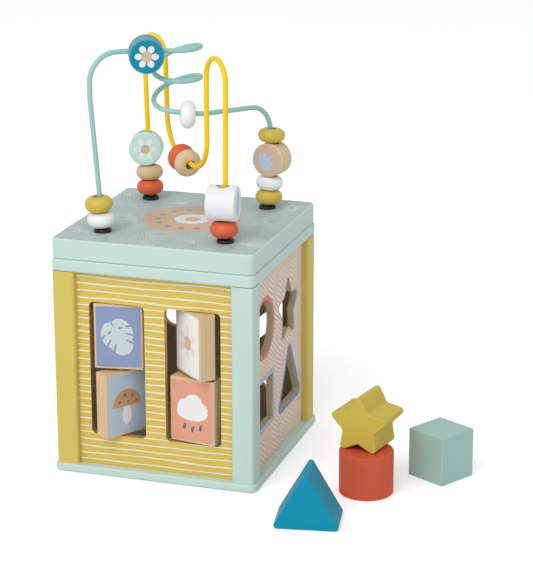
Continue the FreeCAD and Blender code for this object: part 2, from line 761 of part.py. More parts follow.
def round_bead(high=BEAD_HIGH):
    """A squashed ball with its bore along Z, centred at the origin."""
    half = high / 2
    low_flat = V(BEAD_FLAT_R, 0, -half)
    top_flat = V(BEAD_FLAT_R, 0, half)
    low_bore = V(BEAD_BORE_R, 0, -half)
    top_bore = V(BEAD_BORE_R, 0, half)
    edges = [Part.LineSegment(low_bore, low_flat).toShape(),
             Part.Arc(low_flat, V(BEAD_R, 0, 0), top_flat).toShape(),
             Part.LineSegment(top_flat, top_bore).toShape(),
             Part.LineSegment(top_bore, low_bore).toShape()]
    return Part.Face(Part.Wire(edges)).revolve(ORIGIN, UP, 360)


def disc_bead(radius, thick, edge):
    """A flat disc that faces -Y, drilled upright through its middle."""
    disc = Part.makeCylinder(radius, thick, V(0, thick / 2, 0), V(0, -1, 0))
    rims = [e for e in disc.Edges if isinstance(e.Curve, Part.Circle)]
    disc = disc.makeFillet(edge, rims)
    return disc.cut(cylinder(DISC_BORE_R, -radius, radius))


def threaded(bead, middle, direction, turn=0.0):
    """Turns a bead about its bore, lays the bore along a direction and moves it into place."""
    bead.rotate(ORIGIN, UP, turn)
    tilt = FreeCAD.Rotation(UP, direction)
    bead.rotate(ORIGIN, tilt.Axis, math.degrees(tilt.Angle))
    bead.translate(middle)
    return bead


def stack_middles(heights):
    """Distances from the lid, along a leg, to the middle of each bead on it."""
    middles = []
    reached = COLLAR_HIGH + STACK_GAP
    for height in heights:
        middles.append(reached + height / 2)
        reached += height + BEAD_GAP
    return middles


def on_leg(route, corner, upward, distance):
    """A point of a leg at a height over the lid, and the way up the leg."""
    points, radii = route
    foot, head = (points[corner], points[corner + 1]) if upward else (points[corner], points[corner - 1])
    way = (head - foot).normalize()
    return foot + way * ((distance - (foot.z - lid_top)) / way.z), way


def front_left_spots():
    heights = stack_middles([BEAD_HIGH, BEAD_HIGH])
    return [on_leg(mint_route(), 1, True, h) for h in heights]


def back_left_spots():
    heights = stack_middles([BEAD_HIGH, BEAD_HIGH, 2 * DISC_R])
    return [on_leg(yellow_route(), 1, True, h) for h in heights]


def front_right_spots():
    heights = stack_middles([TALL_BEAD_HIGH, 2 * DRUM_R])
    return [on_leg(yellow_route(), 8, False, h) for h in heights]


def back_right_spots():
    route = mint_route()
    heights = stack_middles([LOW_BEAD_HIGH, LOW_BEAD_HIGH, 2 * DISC_R, TOP_BEAD_HIGH])
    return [on_leg(route, len(route[0]) - 2, False, h) for h in heights]


def hanging(point, way, drop=BEAD_BORE_R - WIRE_R - HANG_GAP):
    """A bead on a sloping run hangs until the top of its bore is close to the wire."""
    down = (way * way.z - UP).normalize()
    return point + down * drop


def dip_spots():
    """Middles of the two beads in the yellow wire's dip; the first is where it still curves."""
    points, radii = yellow_route()
    corner = points[4]
    way = (points[5] - corner).normalize()
    second = corner + way * DIP_BEAD_ALONG
    first = second - way * (BEAD_HIGH + BEAD_GAP)
    return [(hanging(first, way, DIP_BEAD_DROP), way), (hanging(second, way), way)]


def loop_bead_spot():
    points, radii = mint_route()
    corner = len(points) - 4
    way = (points[corner] - points[corner - 1]).normalize()
    spot = hanging(coil_point(COIL_LEAVE) + way * LOOP_BEAD_ALONG, way, LOOP_BEAD_DROP)
    return spot, FreeCAD.Rotation(UP, LOOP_BEAD_TURN).multVec(way)


def blue_disc_spot():
    way = (coil_corners()[0] - mint_turn_point()).normalize()
    return hanging(coil_point(COIL_ENTER) - way * BLUE_DISC_ALONG, way, BLUE_DISC_DROP), way


def blue_disc():
    """The disc's bore lies along the wire, so its faces stand upright beside it."""
    middle, way = blue_disc_spot()
    disc = disc_bead(DISC_R, DISC_THICK, DISC_EDGE)
    disc.rotate(ORIGIN, V(0, 1, 0), 90)
    disc.rotate(ORIGIN, V(1, 0, 0), BLUE_DISC_TILT)
    tilt = FreeCAD.Rotation(V(1, 0, 0), V(way.x, way.y, 0))
    disc.rotate(ORIGIN, tilt.Axis, math.degrees(tilt.Angle))
    level = FreeCAD.Rotation(V(way.x, way.y, 0), way)
    disc.rotate(ORIGIN, level.Axis, math.degrees(level.Angle))
    disc.rotate(ORIGIN, UP, BLUE_DISC_TURN)
    disc.translate(middle)
    return disc


def shifted(spot, distance):
    middle, way = spot
    angle = math.radians(SHIFT_WAY)
    return middle + V(math.cos(angle), math.sin(angle), 0) * distance, way


def wire_disc(spot, distance, turn):
    return threaded(disc_bead(DISC_R, DISC_THICK, DISC_EDGE), *shifted(spot, distance), turn)


def drum():
    body = disc_bead(DRUM_R, DRUM_LONG, DRUM_EDGE)
    return threaded(body, *shifted(front_right_spots()[1], DISC_SHIFT), DRUM_TURN)


# Writing the pieces ---------------------------------------------------------------------------------

def save(name, pieces):
    solids = pieces if isinstance(pieces, list) else [pieces]
    shape = solids[0] if len(solids) == 1 else Part.makeCompound(solids)
    shape.exportStep("parts/" + name + ".step")


def build_cube():
    save("base_board", base_board())
    for name, side_x, side_y in (("front_left", -1, -1), ("front_right", 1, -1),
                                 ("back_left", -1, 1), ("back_right", 1, 1)):
        save("post_" + name, corner_post(side_x, side_y))
    save("front_panel", front_panel())
    save("right_panel", right_panel())
    save("back_panel", back_panel())
    save("left_panel", left_panel())
    save("upper_rim", upper_rim())
    save("base_screws", base_screws())
    save("rim_dowels", rim_dowels())


def build_lid():
    save("lid_board", lid_board())
    save("lid_plug", lid_plug())
    save("lid_plug_screws", plug_screws())
    save("yellow_wire", bent_wire(yellow_route()))
    save("mint_wire", bent_wire(mint_route()))
    save("wire_collars", wire_collars())
    save("wire_nuts", wire_nuts())


def build_picture_blocks():
    places = {"left": -block_axis, "right": block_axis}
    bottoms = {"lower": lower_block_bottom, "upper": upper_block_bottom}
    for side, x in places.items():
        save("spinner_rod_" + side, spinner_rod(x))
        for row, bottom in bottoms.items():
            save("picture_block_%s_%s" % (row, side), picture_block(x, bottom, BLOCK_TURNS[side, row]))
    save("spinner_spacers", spinner_spacers())


def build_sorting_blocks():
    save("sorter_cylinder", sorter_cylinder())
    save("sorter_star", sorter_star())
    save("sorter_cube", sorter_cube())
    save("sorter_prism", sorter_prism())


def build_track_knob():
    spot = (KNOB_X, TRACK_POINTS[1][1])
    save("track_knob", track_knob(spot))
    save("track_washer", track_washer(spot))
    save("track_screw", track_screw(spot))


def build_beads():
    white_fl, mustard_fl = front_left_spots()
    save("bead_white_front_left", threaded(round_bead(), *shifted(white_fl, WHITE_BEAD_SHIFT)))
    save("bead_mustard_front_left", threaded(round_bead(), *shifted(mustard_fl, MUSTARD_BEAD_SHIFT)))
    red_bl, wood_bl, mint_bl = back_left_spots()
    save("bead_red_back_left", threaded(round_bead(), *red_bl))
    save("bead_wood_back_left", threaded(round_bead(), *wood_bl))
    save("disc_mint_back_left", wire_disc(mint_bl, DISC_SHIFT, MINT_DISC_TURN))
    red_fr = shifted(front_right_spots()[0], RED_BEAD_SHIFT)
    save("bead_red_front_right", threaded(round_bead(TALL_BEAD_HIGH), *red_fr))
    save("drum_white_front_right", drum())
    low_br, white_br, wood_br, top_br = back_right_spots()
    for name, high, spot in (("mustard", LOW_BEAD_HIGH, low_br), ("white", LOW_BEAD_HIGH, white_br),
                             ("mustard_top", TOP_BEAD_HIGH, top_br)):
        bead = threaded(round_bead(high), *shifted(spot, BACK_RIGHT_SHIFT))
        save("bead_" + name + "_back_right", bead)
    save("disc_wood_back_right", wire_disc(wood_br, WOOD_DISC_SHIFT, WOOD_DISC_TURN))
    red_dip, wood_dip = dip_spots()
    save("bead_red_dip", threaded(round_bead(), *red_dip))
    save("bead_wood_dip", threaded(round_bead(), *wood_dip))
    save("bead_white_coil", threaded(round_bead(), *loop_bead_spot()))
    save("disc_blue_shoulder", blue_disc())


os.makedirs("parts", exist_ok=True)
build_cube()
build_lid()
build_picture_blocks()
build_sorting_blocks()
build_track_knob()
build_beads()
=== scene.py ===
import json
import math

import bpy
from mathutils import Matrix, Vector


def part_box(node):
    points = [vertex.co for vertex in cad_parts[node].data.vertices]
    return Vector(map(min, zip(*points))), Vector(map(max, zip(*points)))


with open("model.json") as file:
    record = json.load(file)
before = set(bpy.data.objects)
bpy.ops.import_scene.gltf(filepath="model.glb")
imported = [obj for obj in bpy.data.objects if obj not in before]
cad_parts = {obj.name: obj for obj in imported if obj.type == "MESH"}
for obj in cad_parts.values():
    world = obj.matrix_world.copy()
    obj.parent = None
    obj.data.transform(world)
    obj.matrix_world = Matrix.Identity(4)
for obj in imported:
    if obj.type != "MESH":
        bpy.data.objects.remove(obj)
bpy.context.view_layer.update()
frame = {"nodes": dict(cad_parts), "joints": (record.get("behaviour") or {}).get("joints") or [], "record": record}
nodes = frame["nodes"]

# Base board, posts and upper rim --------------------------------------------------------------------
# Planed beech with its edges rounded over, sprayed with satin water-based paint, so that the grain
# only just shows through. The base is screwed up into the posts and the rim sits on them on dowels.


class Field:
    """A value, colour or vector that varies over a finish. Sums of fields add the nodes they need."""

    def __init__(self, tree, socket=None):
        self.tree = tree
        self.socket = socket

    def node(self, kind, settings=None, sockets=None, out=0):
        """Adds any node: its settings first, then the values or links of its sockets."""
        made = self.tree.nodes.new("ShaderNode" + kind)
        for name, value in (settings or {}).items():
            setattr(made, name, value)
        for key, value in (sockets or {}).items():
            if isinstance(value, Field):
                self.tree.links.new(value.socket, made.inputs[key])
            else:
                made.inputs[key].default_value = value
        return Field(self.tree, made.outputs[out])

    def maths(self, operation, *others):
        return self.node("Math", {"operation": operation}, dict(enumerate((self, *others))))

    def __add__(self, other):
        return self.maths("ADD", other)

    __radd__ = __add__

    def __sub__(self, other):
        return self.maths("SUBTRACT", other)

    def __rsub__(self, other):
        return self.node("Math", {"operation": "SUBTRACT"}, {0: other, 1: self})

    def __mul__(self, other):
        return self.maths("MULTIPLY", other)

    __rmul__ = __mul__

    def __truediv__(self, other):
        return self.maths("DIVIDE", other)

    def __rtruediv__(self, other):
        return self.node("Math", {"operation": "DIVIDE"}, {0: other, 1: self})

    def __pow__(self, other):
        return self.maths("POWER", other)

    def __abs__(self):
        return self.maths("ABSOLUTE")

    def parts(self):
        """The three numbers of a vector."""
        split = self.node("SeparateXYZ", sockets={0: self}).socket.node
        return [Field(self.tree, output) for output in split.outputs]

    def along(self, way):
        """How far a place lies along a direction."""
        return self.node("VectorMath", {"operation": "DOT_PRODUCT"}, {0: self, 1: tuple(way)}, "Value")

    def stretched(self, scale):
        return self.node("VectorMath", {"operation": "MULTIPLY"}, {0: self, 1: tuple(scale)})

    def cloud(self, scale, detail=2.0):
        """Soft noise from 0 to 1; scale is its lumps in a metre."""
        return self.node("TexNoise", sockets={"Vector": self, "Scale": scale, "Detail": detail})

    def below(self, edge, soft):
        """1 where the value is under the edge and 0 over it, with a soft step between."""
        ends = {"Value": self, "From Min": edge - soft, "From Max": edge + soft, "To Min": 1.0, "To Max": 0.0}
        return self.node("MapRange", {"interpolation_type": "SMOOTHSTEP"}, ends)


def mixed(field, under, over, share):
    """One colour laid over another, where share is 1."""
    return field.node("Mix", {"data_type": "RGBA"}, {0: share, 6: under, 7: over}, 2)


def pigment(red, green, blue):
    """A paint's colour, each part out of 255 as on a screen, as a shader's linear colour."""
    parts = [v / 255 for v in (red, green, blue)]
    linear = [v / 12.92 if v <= 0.04045 else ((v + 0.055) / 1.055) ** 2.4 for v in parts]
    return (*linear, 1.0)


def darkened(paint, share):
    """The same paint with part of its light left."""
    return (*(part * share for part in paint[:3]), 1.0)


def fibres(place, along, across=700.0, length=25.0):
    """Fine streaks of grain along one axis, 0 for X to 2 for Z."""
    scale = [across] * 3
    scale[along] = length
    return place.stretched(scale).cloud(1.0, 3.0)


def relief(height, depth):
    """A bump whose height field runs from 0 to 1, at its real depth in metres."""
    return height.node("Bump", sockets={"Strength": 1.0, "Distance": depth, "Height": height})


def finish(name, surface, **steady):
    """A material: surface(place) gives what varies, and steady holds the sockets that don't."""
    material = bpy.data.materials.new(name)
    material.use_nodes = True
    tree = material.node_tree
    shader = tree.nodes["Principled BSDF"]
    for socket, value in steady.items():
        shader.inputs[socket.replace("_", " ")].default_value = value
    place = Field(tree).node("TexCoord", out="Object")
    for socket, field in surface(place).items():
        tree.links.new(field.socket, shader.inputs[socket])
    return material


def wear(material, *names):
    """Puts a finish on CAD pieces, whose shapes stay as they are."""
    for name in names:
        nodes[name].material_slots[0].material = material


def painted(paint, along, darker=0.82):
    """Satin paint on planed wood, a little uneven and with the grain just showing."""

    def surface(place):
        streak = fibres(place, along)
        patch = place.cloud(22.0)
        return {
            "Base Color": mixed(place, paint, darkened(paint, darker), 0.25 * patch + 0.12 * streak),
            "Roughness": 0.34 + 0.14 * streak + 0.06 * patch,
            "Normal": relief(streak, 0.00004),
        }

    return surface


mint_paint = pigment(200, 222, 214)
ochre_paint = pigment(218, 194, 98)

wear(finish("mint_boards", painted(mint_paint, 0), Specular_IOR_Level=0.3), "base_board", "upper_rim")
wear(finish("mint_posts", painted(mint_paint, 2), Specular_IOR_Level=0.3),
     "post_front_right", "post_back_left")
wear(finish("ochre_posts", painted(ochre_paint, 2), Specular_IOR_Level=0.3),
     "post_front_left", "post_back_right")

# Front panel ----------------------------------------------------------------------------------------
# 5 mm board, painted ochre and printed with thin pale lines that waver like hand-drawn ones. The two
# windows are routed out after printing, so their edges and the inside of the board are bare.

line_pitch = 0.00518
line_rise = 0.00195
line_wide = 0.00095
line_waver = 0.0036
line_shiver = line_waver * 0.22
line_ink = pigment(240, 232, 208)
crisp = 0.00004
ink_depth = 0.00006
board_back = 0.0049
two_plies = 0.0025
board_core = pigment(204, 158, 84)
board_cross_ply = pigment(168, 122, 62)
board_inside = pigment(206, 184, 152)


def bare_board(place, depth_axis, print_face, side):
    """A board's own wood, and 1 where its print lies; side is 1 where the print faces +."""
    depth = (place.parts()[depth_axis] - print_face) * -side
    plies = abs((depth / two_plies).maths("FRACT") - 0.5).below(0.2, 0.08)
    cut = mixed(place, board_core, board_cross_ply, plies)
    wood = mixed(place, board_inside, cut, depth.below(board_back, crisp))
    return wood, depth.below(ink_depth, 0.00003)


def wavering_lines(place):
    """1 on level lines that each wander a little on their way across."""
    slow = place.stretched((17.0, 1.0, 90.0)).cloud(1.0, 1.0) - 0.5
    quick = place.stretched((60.0, 1.0, 190.0)).cloud(1.0, 1.0) - 0.5
    wandered = place.parts()[2] + slow * line_waver + quick * line_shiver
    off_line = abs(((wandered - line_rise) / line_pitch).maths("FRACT") - 0.5)
    return off_line.below(line_wide / line_pitch / 2, 0.035)


def lined_front(place):
    streak = fibres(place, 0)
    bare, printed = bare_board(place, 1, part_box("front_panel")[0].y, -1)
    ochre = mixed(place, pigment(222, 194, 96), pigment(208, 178, 78), 0.6 * streak)
    inked = mixed(place, ochre, line_ink, wavering_lines(place))
    return {
        "Base Color": mixed(place, bare, inked, printed),
        "Roughness": 0.5 + 0.15 * streak,
        "Normal": relief(streak, 0.00005),
    }


wear(finish("lined_front", lined_front), "front_panel")

# Sorting panel and the side and back panels ---------------------------------------------------------
# 5 mm veneered board with a clear coat and a pale print of slanting strokes. Each sorting hole has a
# printed ring in the colour of its block; the holes and the back's winding slot are laser cut.

veneer = pigment(236, 212, 188)
veneer_dark = pigment(222, 196, 170)
stroke_white = pigment(246, 232, 214)
stroke_mauve = pigment(214, 190, 200)
stroke_pitch = 0.0040
stroke_fold = 0.036
stroke_slope = 0.65
stroke_waver = 0.008
stroke_half = 0.17
stroke_breaks = 0.56
ring_edge = 0.0002
circle_ring = 0.0237
square_half = 0.0186
square_ring = 0.0025
triangle_rise = 0.0428
triangle_inner = 0.0129
triangle_ring = 0.0050
star_tip = 0.0207
star_notch = 0.01076
star_ring = 0.0044
star_ring_edge = 0.0012


def hole_middle(name):
    """Middle of a sorting hole along the side and up, from the part's own record."""
    openings = {o["name"]: o["box_m"] for o in frame["record"]["physics"]["openings"]}
    low, high = openings[name]
    return (low[1] + high[1]) / 2, (low[2] + high[2]) / 2


def slanting_strokes(along, height, place, shift=0.0):
    """Short strokes that rise both ways from a fold; their half width is a share of the pitch."""
    waver = (place.cloud(34.0, 1.0) - 0.5) * stroke_waver
    bent = height - stroke_slope * abs(along - stroke_fold) + waver
    stroke = abs((bent / stroke_pitch + shift).maths("FRACT") - 0.5).below(stroke_half, 0.09)
    broken = place.stretched((90.0, 90.0, 60.0)).cloud(1.0, 1.0).below(stroke_breaks, 0.03)
    return stroke * broken


def veneered(place, depth_axis):
    """Clear-coated veneer with its printed strokes, and the streaks of its grain."""
    x, y, z = place.parts()
    along = (y, x)[depth_axis]
    streak = fibres(place, 2, 420.0, 12.0)
    wood = mixed(place, veneer, veneer_dark, streak * 0.8)
    wood = mixed(place, wood, stroke_white, 0.8 * slanting_strokes(along, z, place, 0.5))
    return mixed(place, wood, stroke_mauve, 0.75 * slanting_strokes(along, z, place)), streak


def reach_of(u, v):
    """How far a place lies from the middle, from its two parts."""
    return (u * u + v * v) ** 0.5


def off_star(u, v, tip, notch):
    """Distance from a five-pointed star, one point up, to a place outside it."""
    tip_turn = math.pi / 5
    angle = u.maths("ARCTAN2", v) / (2 * tip_turn)
    turn = abs((angle + 0.5).maths("FRACT") - 0.5) * (2 * tip_turn)
    reach = reach_of(u, v)
    from_tip_x = reach * turn.maths("COSINE") - tip
    from_tip_y = reach * turn.maths("SINE")
    edge = Vector((notch * math.cos(tip_turn) - tip, notch * math.sin(tip_turn))).normalized()
    beside = (from_tip_x * edge.y - from_tip_y * edge.x).maths("MAXIMUM", 0.0)
    beyond = (from_tip_x * edge.x + from_tip_y * edge.y).maths("MINIMUM", 0.0)
    return reach_of(beside, beyond)


def off_triangle(u, v, inner):
    """Distance from an upright triangle, whose inner circle has this radius, to a place outside it."""
    sector = math.tau / 3
    angle = u.maths("ARCTAN2", v * -1.0) / sector
    turn = abs((angle + 0.5).maths("FRACT") - 0.5) * sector
    reach = reach_of(u, v)
    beside = (reach * turn.maths("COSINE") - inner).maths("MAXIMUM", 0.0)
    beyond = (reach * turn.maths("SINE") - inner * math.sqrt(3)).maths("MAXIMUM", 0.0)
    return reach_of(beside, beyond)


def off_rectangle(u, v, half_u, half_v):
    """Distance from a rectangle to a place outside it."""
    beside = (abs(u) - half_u).maths("MAXIMUM", 0.0)
    above = (abs(v) - half_v).maths("MAXIMUM", 0.0)
    return reach_of(beside, above)


def hole_rings(place):
    """The ink of the ring round each sorting hole, and 1 where it lies."""
    y, z = place.parts()[1:]
    circle_y, circle_z = hole_middle("circle_hole")
    square_y, square_z = hole_middle("square_hole")
    triangle_y = hole_middle("triangle_hole_low")[0]
    triangle_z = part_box("base_board")[1].z + triangle_rise
    star_y, star_z = hole_middle("star_hole")
    circle = reach_of(y - circle_y, z - circle_z)
    square = off_rectangle(y - square_y, z - square_z, square_half, square_half)
    triangle = off_triangle(y - triangle_y, z - triangle_z, triangle_inner)
    star = off_star(y - star_y, z - star_z, star_tip, star_notch)
    return (
        (pigment(226, 124, 116), circle.below(circle_ring, ring_edge)),
        (pigment(184, 188, 214), square.below(square_ring, ring_edge)),
        (pigment(130, 134, 192), triangle.below(triangle_ring, ring_edge)),
        (pigment(190, 152, 120), star.below(star_ring, star_ring_edge) * 0.7),
    )


def sorting_side(place):
    """The veneered board with its rings; its cut edges are brushed with taupe."""
    colour, streak = veneered(place, 0)
    for ink, ring in hole_rings(place):
        colour = mixed(place, colour, ink, ring)
    bare, printed = bare_board(place, 0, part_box("right_panel")[1].x, 1)
    taupe = mixed(place, bare, pigment(216, 200, 170), 0.8)
    return {
        "Base Color": mixed(place, taupe, colour, printed),
        "Roughness": 0.5 + 0.12 * streak,
        "Normal": relief(streak, 0.00005),
    }


def veneered_side(node, depth_axis, side):
    """The same board without rings, on the sides where nothing is sorted."""

    def surface(place):
        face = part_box(node)[side > 0][depth_axis]
        colour, streak = veneered(place, depth_axis)
        bare, printed = bare_board(place, depth_axis, face, side)
        return {
            "Base Color": mixed(place, bare, colour, printed),
            "Roughness": 0.5 + 0.12 * streak,
            "Normal": relief(streak, 0.00006),
        }

    return surface


wear(finish("sorting_side", sorting_side), "right_panel")
wear(finish("left_side", veneered_side("left_panel", 0, -1)), "left_panel")
wear(finish("back_side", veneered_side("back_panel", 1, 1)), "back_panel")

# Lid ------------------------------------------------------------------------------------------------
# A thick beech board sprayed mint, its top printed with soft hair-fine strokes and one large rosette.
# A plain beech plug is screwed under it and drops into the mouth of the box.

rosette_middle = Vector((0.004, 0.002))
rosette_reach = 0.037
rosette_scallops = 14
scallop_depth = 0.0013
dot_ring = rosette_reach * 0.70
dot_radius = 0.0021
heart_reach = rosette_reach * 0.36
heart_spot = rosette_reach * 0.16
rosette_edge = 0.0003
tufts_in_a_metre = 30.0
tuft_foot = 0.026
tuft_sector = 0.072
tuft_stroke = 0.00020
tuft_breaks = 0.60
print_depth = 0.0001


def rosette(x, y, place, ground, tan):
    """A scalloped tan rosette with slate dots and a pale heart."""
    u = x - rosette_middle.x
    v = y - rosette_middle.y
    reach = reach_of(u, v)
    turn = v.maths("ARCTAN2", u)
    wave = (turn * rosette_scallops).maths("COSINE")
    top = mixed(place, ground, tan, (reach - wave * scallop_depth).below(rosette_reach, rosette_edge))
    sector = math.tau / rosette_scallops
    across = reach * (abs((turn / sector).maths("FRACT") - 0.5) * sector)
    dots = reach_of(reach - dot_ring, across).below(dot_radius, 0.0002)
    top = mixed(place, top, pigment(146, 152, 182), dots)
    top = mixed(place, top, pigment(226, 228, 222), reach.below(heart_reach, rosette_edge))
    return mixed(place, top, tan, reach.below(heart_spot, rosette_edge))


def tufts(x, y, place):
    """Fine strokes in patches; those of one patch spread from a point behind it."""
    settings = {"voronoi_dimensions": "2D", "feature": "F1"}
    sockets = {"Vector": place, "Scale": tufts_in_a_metre}
    middle_x, middle_y = place.node("TexVoronoi", settings, sockets, "Position").parts()[:2]
    turn = place.node("TexVoronoi", settings, sockets, "Color").parts()[0] * math.tau
    sine = turn.maths("SINE")
    cosine = turn.maths("COSINE")
    out = (x - middle_x) * cosine + (y - middle_y) * sine + tuft_foot
    aside = (y - middle_y) * cosine - (x - middle_x) * sine
    folded = abs((aside.maths("ARCTAN2", out) / tuft_sector).maths("FRACT") - 0.5) * tuft_sector
    across = folded * reach_of(out, aside)
    return across.below(tuft_stroke, 0.00012) * place.cloud(90.0, 1.0).below(tuft_breaks, 0.03)


def lid_print(place):
    """Mint paint with the print on the flat of the top."""
    x, y, z = place.parts()
    lid = painted(mint_paint, 0)(place)
    patch = place.cloud(22.0)
    ground = mixed(place, pigment(176, 193, 189), pigment(169, 187, 183), patch)
    ground = mixed(place, ground, pigment(216, 226, 221), 0.85 * tufts(x, y, place))
    tan = mixed(place, pigment(212, 184, 158), pigment(202, 172, 144), patch)
    top = rosette(x, y, place, ground, tan)
    flat = 1.0 - z.below(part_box("lid_board")[1].z - print_depth, crisp)
    lid["Base Color"] = mixed(place, lid["Base Color"], top, flat)
    return lid


def bare_wood(light, dark, along):
    """Turned or planed beech with a clear satin coat: fibres, slow bands and short flecks."""

    def surface(place):
        streak = fibres(place, along, 520.0, 18.0)
        band = fibres(place, along, 130.0, 6.0)
        wood = mixed(place, light, dark, streak * 0.5 + band * 0.45)
        flecks = fibres(place, along, 1500.0, 190.0).below(0.34, 0.04)
        return {
            "Base Color": mixed(place, wood, dark, flecks * 0.35),
            "Roughness": 0.42 + 0.2 * streak,
            "Normal": relief(streak, 0.00005),
        }

    return surface


beech = pigment(230, 202, 164)
beech_dark = pigment(208, 172, 126)

wear(finish("lid_print", lid_print, Specular_IOR_Level=0.3), "lid_board")
wear(finish("plain_beech", bare_wood(beech, beech_dark, 0)), "lid_plug", "rim_dowels", "track_washer")

# Screws, rods, nuts, spacer rings and collars -------------------------------------------------------
# Bought parts: zinc-plated steel screws, rods, nuts and spacer rings, brushed along their length, and
# black plastic collars with a slight moulded texture, pressed into the lid round the wires' feet.


def brushed_zinc(place):
    streak = place.stretched((2400.0, 2400.0, 120.0)).cloud(1.0)
    return {
        "Base Color": mixed(place, pigment(186, 187, 190), pigment(150, 152, 156), streak),
        "Roughness": 0.28 + 0.2 * streak,
    }


def moulded_black(place):
    pores = place.cloud(2600.0)
    return {
        "Base Color": mixed(place, pigment(24, 24, 25), pigment(34, 34, 36), pores),
        "Roughness": 0.2 + 0.14 * pores,
        "Normal": relief(pores, 0.00002),
    }


wear(finish("zinc", brushed_zinc, Metallic=1.0), "base_screws", "lid_plug_screws", "wire_nuts",
     "spinner_rod_left", "spinner_rod_right", "spinner_spacers", "track_screw")
wear(finish("black_plastic", moulded_black), "wire_collars")

# Turning picture blocks -----------------------------------------------------------------------------
# Small beech boards drilled from end to end for the rods, with a picture printed on each broad side
# inside a narrow margin of bare wood.

block_wide = 0.0363
leaf_turn = 26.0
# each slit: how far out and up it lies on the leaf, its half length and its lean
leaf_slits = (
    (0.0104, 0.0044, 0.0026, -18.0),
    (0.0088, -0.0016, 0.0038, -38.0),
    (0.0066, -0.0072, 0.0040, -52.0),
    (0.0046, 0.0056, 0.0019, -16.0),
)
print_margin = 0.0016
print_corner = 0.0012
print_face = 0.0064
ink_edge = 0.00018


def circle(u, v, middle_u, middle_v, radius):
    """1 inside a disc."""
    return reach_of(u - middle_u, v - middle_v).below(radius, ink_edge)


def oval(u, v, middle_u, middle_v, half_u, half_v, turn=0.0):
    """1 inside an oval that is turned by some degrees."""
    angle = math.radians(turn)
    du = u - middle_u
    dv = v - middle_v
    long = (du * math.cos(angle) + dv * math.sin(angle)) / half_u
    wide = (dv * math.cos(angle) - du * math.sin(angle)) / half_v
    return reach_of(long, wide).below(1.0, ink_edge / min(half_u, half_v))


def both(mask, other):
    """1 where either of two masks is."""
    return mask.maths("MAXIMUM", other)


def ring_of_petals(u, v, count, distance, long, wide, turn=0.0):
    """Ovals evenly round the middle, their long way outward."""
    reach = reach_of(u, v)
    sector = math.tau / count
    angle = v.maths("ARCTAN2", u) / sector + (0.5 - turn / 360 * count)
    folded = (angle.maths("FRACT") - 0.5) * sector
    out = (reach * folded.maths("COSINE") - distance) / long
    side = reach * folded.maths("SINE") / wide
    return reach_of(out, side).below(1.0, ink_edge / wide)


def leaf_picture(u, v, place):
    """A pale broad leaf with slits along both edges, on periwinkle blue."""
    blue = mixed(place, pigment(142, 156, 194), pigment(132, 146, 184), place.cloud(60.0))
    turn = math.radians(leaf_turn)
    p = u * math.cos(turn) + v * math.sin(turn)
    q = v * math.cos(turn) - u * math.sin(turn)
    leaf = both(oval(p, q, -0.0046, 0.0034, 0.0098, 0.0072, 78.0),
                oval(p, q, 0.0046, 0.0034, 0.0098, 0.0072, 102.0))
    leaf = both(leaf, oval(p, q, 0.0, -0.0044, 0.0086, 0.0100))
    pale = mixed(place, pigment(206, 216, 216), pigment(194, 206, 206), place.cloud(900.0))
    picture = mixed(place, blue, pale, leaf)
    for side in (-1.0, 1.0):
        for out, rise, long, lean in leaf_slits:
            slit = oval(p, q, side * out, rise, long, 0.0008, side * lean)
            picture = mixed(place, picture, blue, slit)
    return mixed(place, picture, blue, oval(p, q, 0.0, 0.0122, 0.0006, 0.0038))


def toadstool_picture(u, v, place):
    """A tan toadstool with slate dots on pale blue."""
    picture = mixed(place, pigment(190, 206, 222), pigment(178, 194, 212), place.cloud(60.0))
    stem = oval(u, v, 0.0, -0.0088, 0.0040, 0.0078)
    picture = mixed(place, picture, pigment(236, 232, 226), stem)
    cap = oval(u, v, 0.0, -0.0026, 0.0124, 0.0134) * (1.0 - v.below(-0.0022, 0.0002))
    tan = mixed(place, pigment(206, 160, 112), pigment(194, 144, 96), place.cloud(500.0))
    picture = mixed(place, picture, tan, cap)
    for du, dv, radius in ((-0.0062, 0.0014, 0.0012), (-0.0018, 0.0062, 0.0014), (0.0012, 0.0010, 0.0010),
                           (0.0050, 0.0048, 0.0013), (0.0082, 0.0006, 0.0009)):
        picture = mixed(place, picture, pigment(112, 112, 150), circle(u, v, du, dv, radius))
    return picture


def blossom_picture(u, v, place):
    """A very pale pink daisy with a tan middle on white."""
    picture = mixed(place, pigment(248, 248, 247), pigment(243, 243, 242), place.cloud(60.0))
    petals = ring_of_petals(u, v, 6, 0.0088, 0.0041, 0.0029, 90.0)
    picture = mixed(place, picture, pigment(244, 226, 222), petals)
    return mixed(place, picture, pigment(216, 196, 158), oval(u, v, 0.0, 0.0, 0.0050, 0.0054))


def cloud_picture(u, v, place):
    """A white cloud with three dark drops under it, on salmon."""
    picture = mixed(place, pigment(232, 164, 138), pigment(224, 154, 128), place.cloud(60.0))
    puffs = oval(u, v, 0.0, -0.0012, 0.0126, 0.0062)
    for du, dv, radius in ((-0.0058, 0.0030, 0.0060), (0.0012, 0.0056, 0.0074), (0.0076, 0.0022, 0.0050)):
        puffs = both(puffs, circle(u, v, du, dv, radius))
    picture = mixed(place, picture, pigment(238, 236, 235), puffs)
    for du, dv in ((-0.0064, -0.0120), (0.0002, -0.0138), (0.0068, -0.0120)):
        drop = oval(u, v, du, dv, 0.0012, 0.0026, -12.0)
        picture = mixed(place, picture, pigment(116, 98, 120), drop)
    return picture


